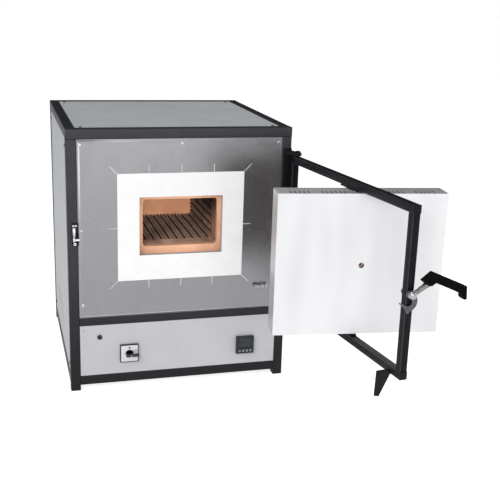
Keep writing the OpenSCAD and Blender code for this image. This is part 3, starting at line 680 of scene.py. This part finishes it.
# ------------------------------------------------------------------ catch
def catch():
    """Black plate on the left post, with a plated lug that narrows to its cross pin."""
    plate = bmesh.new()
    block(plate, (CATCH_X - 8, -3, 390.5), (CATCH_X + 8, 0, 448.5), 0.8)
    backing = new_piece("catch_black_plate", plate, M["door_frame"], "cabinet")
    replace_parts(backing, "catch_plate")

    lug = bmesh.new()
    corners = [(-7, -2.8, 437), (2.2, -2.8, 437), (-7, -2.8, 402), (-3, -2.8, 402),
               (-7, -25, 416), (-2.6, -25, 416), (-7, -25, 407), (-3, -25, 407)]
    rounded_hull(lug, [at(CATCH_X + dx, y, z) for dx, y, z in corners], 0.9 * MM)
    pin = [(0, -4), (2.4, -4), (3, -3.4), (3, 8.6), (2.4, 9.3), (0, 9.3)]
    turned(lug, pin, axes_to((1, 0, 0), at(CATCH_X, *CATCH_PIN)), 24)
    new_piece("catch_lug", lug, M["bright_zinc"], "cabinet")

    heads = bmesh.new()
    sockets = bmesh.new()
    for dx, z, radius in CATCH_BOLTS:
        seat = axes_to((0, -1, 0), at(CATCH_X + dx, -3, z))
        hollow = radius * 0.42
        dome = [(radius, 0), (radius, 1.2), (radius * 0.93, 1.9), (radius * 0.75, 2.4),
                (hollow, 2.4), (hollow, 1.1)]
        turned(heads, dome, seat, 24)
        # black disc at the bottom of each socket: painted shade
        turned(sockets, [(hollow, 1.1), (hollow, 1.2)], seat, 6)
    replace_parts(new_piece("catch_heads", heads, M["bright_zinc"], "cabinet"), "catch_bolts")
    new_piece("catch_socket_shade", sockets, M["black_plastic"], "cabinet")


def plate_foot():
    """Folded lower edge of the front plate in lighter steel, a painted highlight, and a dark strip between
    it and the rail, painted shade in the gap.
    """
    hem, gap_shade = bmesh.new(), bmesh.new()
    # the fold in lighter steel than the plate: painted highlight
    block(hem, (-259.4, 0.4, 201.3), (259.4, 2.3, 202.7), 0.5)
    new_piece("plate_hem", hem, M["case"], "cabinet")
    # dark strip in the gap under the plate: painted shade
    block(gap_shade, (-259.5, 1.2, 197.05), (259.5, 3.4, 201.3), 0.4)
    new_piece("plate_gap_shade", gap_shade, M["gap_shade"], "cabinet")


# ------------------------------------------------------------------ latch
def door_at(u, z, v):
    """A point in millimetres: along the door from the hinge tube's middle, up, and outwards."""
    return DOOR_AXES @ (Vector((u - HINGE_PIN_U, z, v)) * MM)


def latch():
    """Turned shaft, ball-ended knuckle and the flared stem that carries the grip."""
    along = axes_to(LATCH_ALONG, door_at(0, LATCH_Z, LATCH_V))
    bm = bmesh.new()
    knuckle = [(0, 542.5), (7.4, 542.5), (8, 543.2), (8, 544.6), (5, 545), (5, 570.9), (7.4, 571),
               (9, 572.6), (9.7, 575), (9.2, 578), (7.6, 580.6), (5, 582.3), (2.5, 583), (0, 583.1)]
    turned(bm, knuckle, along, 40)
    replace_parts(new_piece("latch_knuckle", bm, M["chrome"], "latch"), "latch_shaft")
    bm = bmesh.new()
    upwards = DOOR_OUT * math.sin(STEM_TILT) + Vector((0, 0, math.cos(STEM_TILT)))
    stem = [(5.3, 0), (5.3, 6), (5.6, 12), (6.0, 20), (6.5, 28), (6.7, 31), (7.1, 31.4), (7.1, 34.6),
            (6.5, 35)]
    turned(bm, stem, axes_to(upwards, door_at(575, LATCH_Z + 4, LATCH_V + 6)))
    new_piece("latch_stem", bm, M["stem"], "latch")


# ------------------------------------------------------------------ switch and controller
def switch():
    """Black frame, plain plate with its marks, hub and bar handle."""
    x, z = SWITCH_X, DIALS_Z
    rim, face, marks = bmesh.new(), bmesh.new(), bmesh.new()
    block(rim, (x - 24, -5, z - 24.5), (x + 24, 1, z + 24.5), 1.0)
    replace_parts(new_piece("switch_rim", rim, M["black_plastic"], "cabinet"), "switch_plate")
    block(face, (x - 21.6, -5.5, z - 22), (x + 21.6, -4.5, z + 22), 0.4)
    new_piece("switch_face", face, M["bezel"], "cabinet")
    block(marks, (x + 14, -5.65, z + 7.6), (x + 20, -5.4, z + 9), 0.1, 1)
    ring = [(1.7, 0), (2.5, 0), (2.5, 0.15), (1.7, 0.15), (1.7, 0)]
    turned(marks, ring, axes_to((0, -1, 0), at(x, -5.5, z + 16)), 24)
    new_piece("switch_marks", marks, M["black_plastic"], "cabinet")

    knob, handle, dot = bmesh.new(), bmesh.new(), bmesh.new()
    disc = [(4, -30), (4, 5), (9.4, 5), (10, 5.6), (10, 8.2), (9.2, 9), (6, 9), (6, 15), (0, 15)]
    turned(knob, disc, axes_to((0, -1, 0), at(x, 0, z)), 40)
    corners = [(-11, -14, -4), (-11, -14, 3), (-9.4, -24, -3.6), (-9.4, -24, 2.4),
               (24, -14, -4), (24, -14, 3), (23, -24, -3.6), (23, -24, 2.4)]
    rounded_hull(handle, [at(x + dx, y, z + dz) for dx, y, dz in corners], 1.2 * MM)
    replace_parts(new_piece("switch_hub", knob, M["grip"], "knob"), "switch_knob")
    new_piece("switch_handle", handle, M["handle"], "knob")
    turned(dot, [(1.5, 0), (1.5, 0.15)], axes_to((0, -1, 0), at(x + 3, -24, z - 0.6)), 20)
    new_piece("switch_dot", dot, M["print"], "knob")


def digit(bm, x, y, z, width, height):
    """Seven dark bars in the shape of an eight; x, z is the middle."""
    bar = 0.09 * height
    for row in (-1, 0, 1):
        mid = z + row * (height - bar) / 2
        block(bm, (x - width / 2 + bar, y, mid - bar / 2),
              (x + width / 2 - bar, y + 0.05, mid + bar / 2), 0.01, 1)
    for side in (-1, 1):
        for half in (-1, 1):
            mid = x + side * (width - bar) / 2
            block(bm, (mid - bar / 2, y, z + half * height * 0.06 if half > 0 else z - height * 0.44),
                  (mid + bar / 2, y + 0.05, z + height * 0.44 if half > 0 else z - height * 0.06), 0.01, 1)


def controller_face():
    """Unlit figures behind the window, and a plain sign on each key."""
    x, z = CONTROLLER_X, DIALS_Z
    digits = bmesh.new()
    for i in range(4):
        digit(digits, x - 12.6 + i * 8.4, -7.45, z + 13.2, 5.6, 9.4)
        digit(digits, x - 9.6 + i * 6.4, -7.45, z + 0.4, 4.0, 6.4)
    new_piece("unlit_digits", digits, M["segment"], "cabinet", smooth=False)
    bodies = ("set_key", "down_key", "up_key", "run_key")
    icons = ([(-1.2, -1.2), (1.2, -1.2), (1.2, 1.2), (-1.2, 1.2)], [(-1.5, 1.0), (0, -1.4), (1.5, 1.0)],
             [(-1.5, -1.0), (1.5, -1.0), (0, 1.4)], [(-1.0, -1.4), (1.6, 0), (-1.0, 1.4)])
    for i, (body, icon) in enumerate(zip(bodies, icons)):
        bm = bmesh.new()
        centre = (x - 15 + i * 10, z - 16)
        bm.faces.new([bm.verts.new(at(centre[0] + px, -9.45, centre[1] + pz)) for px, pz in icon])
        new_piece(body + "_icon", bm, M["black_plastic"], body, smooth=False)


# ------------------------------------------------------------------ vents and cable entry
def hood(bm, centre, along, out, length, height, bulge):
    """A pressed louvre over one slot: shut above, open below."""
    rows = []
    for i in range(13):
        t = -1 + i / 6
        rise = bulge * math.sqrt(max(0.0, 1 - t ** 4))
        base = centre + along * (t * length / 2)
        row = [base + Vector((0, 0, height * (0.75 - 1.4 * k / 5)))
               + out * (rise * math.sin(math.pi / 2 * k / 5)) for k in range(6)]
        rows.append([bm.verts.new(point) for point in row])
    for lower, upper in zip(rows, rows[1:]):
        for k in range(5):
            bm.faces.new((lower[k], upper[k], upper[k + 1], lower[k + 1]))


def louvres():
    """One pressed louvre over each vent slot of the side and rear covers."""
    bm = bmesh.new()
    bulge = 2.6 * MM
    for i in range(3):
        for j in range(9):
            for side in (-1, 1):
                centre = at(side * COVER_SIDE_X, 254 + i * 62, 62 + j * 12)
                hood(bm, centre, Vector((0, 1, 0)), Vector((side, 0, 0)), 54 * MM, 5 * MM, bulge)
    for lowest, columns, rows in ((562.5, 5, 4), (122.5, 3, 3)):
        for i in range(columns):
            for j in range(rows):
                centre = at(-160 + i * 80, COVER_REAR_Y, lowest + j * 14)
                hood(bm, centre, Vector((1, 0, 0)), Vector((0, 1, 0)), 62 * MM, 6 * MM, bulge)
    new_piece("louvres", bm, M["cover"], "cabinet")


def gland():
    """Cable gland: flange, thread, six-sided nut outside and a ribbed dome."""
    bm = bmesh.new()
    place = axes_to((0, 1, 0), at(GLAND_X, COVER_REAR_Y, GLAND_Z))
    body = [(4, -14), (8, -14), (8, 0.2), (12, 0.2), (12, 1.2), (11.6, 1.6), (9, 1.6)]
    for ridge in range(5):
        body += [(8.4, 5.2 + ridge * 0.7), (8.0, 5.5 + ridge * 0.7)]
    body += [(7.6, 8.8), (6.6, 9.4), (4, 9.5), (4, -14)]
    turned(bm, body, place, 36)
    nut = [(8, 1.6), (11.4, 1.6), (11.6, 2), (11.6, 4.8), (11.2, 5.2), (8, 5.2)]
    turned(bm, nut, place, 6)
    locknut = [(8, -8.6), (11.8, -8.6), (11.8, -1.9), (8, -1.9)]
    turned(bm, locknut, place, 6)
    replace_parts(new_piece("gland_ribbed", bm, M["black_plastic"], "cabinet"), "cable_gland")


# ------------------------------------------------------------------ stage
def stage():
    bm = bmesh.new()
    bmesh.ops.create_grid(bm, x_segments=1, y_segments=1, size=40)
    mesh = bpy.data.meshes.new("floor")
    bm.to_mesh(mesh)
    bm.free()
    floor = bpy.data.objects.new("floor", mesh)
    s = Shader("floor_paper", Roughness=0.9, Specular_IOR_Level=0.1)
    tone = s.noise(1.5, 3)
    paper = s.colours(tone, (0.3, (0.90, 0.90, 0.90)), (0.7, (0.93, 0.93, 0.93)))
    seen = s.node("ShaderNodeLightPath").outputs["Is Camera Ray"]
    mesh.materials.append(s.feed(Base_Color=paper, Emission_Color=paper,
                                 Emission_Strength=s.between(seen, 0.25, 0.82)))
    bpy.context.scene.collection.objects.link(floor)


def area_light(name, at, target, size, power, colour=(1, 1, 1)):
    data = bpy.data.lights.new(name, "AREA")
    data.shape = "RECTANGLE"
    data.size, data.size_y = size
    data.energy = power
    data.color = colour
    light = bpy.data.objects.new(name, data)
    at, target = Vector(at), Vector(target)
    turn = (target - at).to_track_quat("-Z", "Y").to_matrix().to_4x4()
    light.matrix_world = Matrix.Translation(at) @ turn
    bpy.context.scene.collection.objects.link(light)


def studio():
    world = bpy.data.worlds.new("studio")
    bpy.context.scene.world = world
    world.use_nodes = True
    tree = world.node_tree
    tree.nodes.clear()
    make, link = tree.nodes.new, tree.links.new
    coords, slant = make("ShaderNodeTexCoord"), make("ShaderNodeVectorMath")
    slant.operation = "DOT_PRODUCT"
    slant.inputs[1].default_value = (0.55, 0.80, -0.25)
    link(coords.outputs["Generated"], slant.inputs[0])
    ramp = make("ShaderNodeValToRGB")
    spread = make("ShaderNodeMapRange")
    link(slant.outputs["Value"], spread.inputs["Value"])
    spread.inputs["From Min"].default_value = -0.7
    spread.inputs["From Max"].default_value = 0.5
    link(spread.outputs["Result"], ramp.inputs["Fac"])
    ramp.color_ramp.elements[0].color = (0.52, 0.52, 0.535, 1)
    ramp.color_ramp.elements[1].color = (0.045, 0.05, 0.055, 1)
    around, seen = make("ShaderNodeBackground"), make("ShaderNodeBackground")
    choose = make("ShaderNodeMixShader")
    link(ramp.outputs["Color"], around.inputs["Color"])
    seen.inputs["Color"].default_value = (1, 1, 1, 1)
    path, out = make("ShaderNodeLightPath"), make("ShaderNodeOutputWorld")
    link(path.outputs["Is Camera Ray"], choose.inputs[0])
    link(around.outputs[0], choose.inputs[1])
    link(seen.outputs[0], choose.inputs[2])
    link(choose.outputs[0], out.inputs["Surface"])

    centre = (0.05, -0.3, 0.35)
    area_light("key_softbox", (-2.2, -3.0, 2.6), centre, (2.2, 1.6), 62)
    area_light("top_softbox", (0.2, 0.2, 3.2), centre, (2.4, 2.4), 24)
    area_light("right_strip", (3.0, -1.6, 1.2), centre, (0.8, 1.8), 12)
    area_light("front_fill", (0.3, -4.0, 0.9), centre, (2.0, 1.2), 20)
    # light for the chamber only, so that none of it falls on the front or the shut door
    spot = bpy.data.lights.new("chamber_spot", "SPOT")
    spot.energy = 150
    spot.spot_size = math.radians(6.5)
    spot.spot_blend = 0.6
    spot.shadow_soft_size = 0.05
    lamp = bpy.data.objects.new("chamber_spot", spot)
    start, target = Vector((-0.30, -2.4, 0.86)), at(4, 60, 436)
    lamp.matrix_world = axes_to(start - target, start)
    bpy.context.scene.collection.objects.link(lamp)
    lit = bpy.data.collections.new("chamber_parts")
    for name in ("muffle_mouth", "muffle_floor", "muffle_sides", "muffle_roof", "muffle_back",
                 "thermocouple"):
        lit.objects.link(NODES[name])
    lit.objects.link(bpy.data.objects["wound_coils"])
    lamp.light_linking.receiver_collection = lit


def camera():
    data = bpy.data.cameras.new("camera")
    data.lens = CAMERA_LENS_MM
    data.sensor_width = 36
    data.clip_end = 100
    turn, down, roll = CAMERA_TURN, CAMERA_DOWN, CAMERA_ROLL
    forward = Vector((math.sin(turn) * math.cos(down), math.cos(turn) * math.cos(down), -math.sin(down)))
    level = Vector((math.cos(turn), -math.sin(turn), 0))
    upright = level.cross(forward)
    right = math.cos(roll) * level + math.sin(roll) * upright
    up = -math.sin(roll) * level + math.cos(roll) * upright
    made = bpy.data.objects.new("camera", data)
    axes = Matrix((right, up, -forward)).transposed().to_4x4()
    made.matrix_world = Matrix.Translation(CAMERA_AT) @ axes
    bpy.context.scene.collection.objects.link(made)
    bpy.context.scene.camera = made


paint_cad_nodes()
rounded_frame_tubes()
wound_coils()
screw_heads("plate_screws", 3.4 * MM, 2.0 * MM, M["bright_zinc"], painted_below=0.18)
screw_heads("cover_screws", 4.2 * MM, 1.8 * MM, M["black_steel"])
catch()
plate_foot()
latch()
switch()
controller_face()
louvres()
gland()
soften(0.25 * MM, "control_panel", "front_plate", "top_cover", "panel_stop", "hinge_pins",
       "leaf_skin", "interlock_fin", "door_fittings", "reset_bush", "reset_pin", "key_set",
       "key_down", "key_up", "key_run")
soften(0.9 * MM, "latch_claw", rim=M["claw_edge_highlight"])
soften(1.2 * MM, "foot_caps", "hinge_carrier", "front_board", "controller")
soften(2.0 * MM, "muffle_mouth", "muffle_floor", "muffle_sides")
soften(3.0 * MM, "latch_grip", segments=5)
stage()
studio()
camera()

scene = bpy.context.scene
scene.view_settings.view_transform = "Standard"
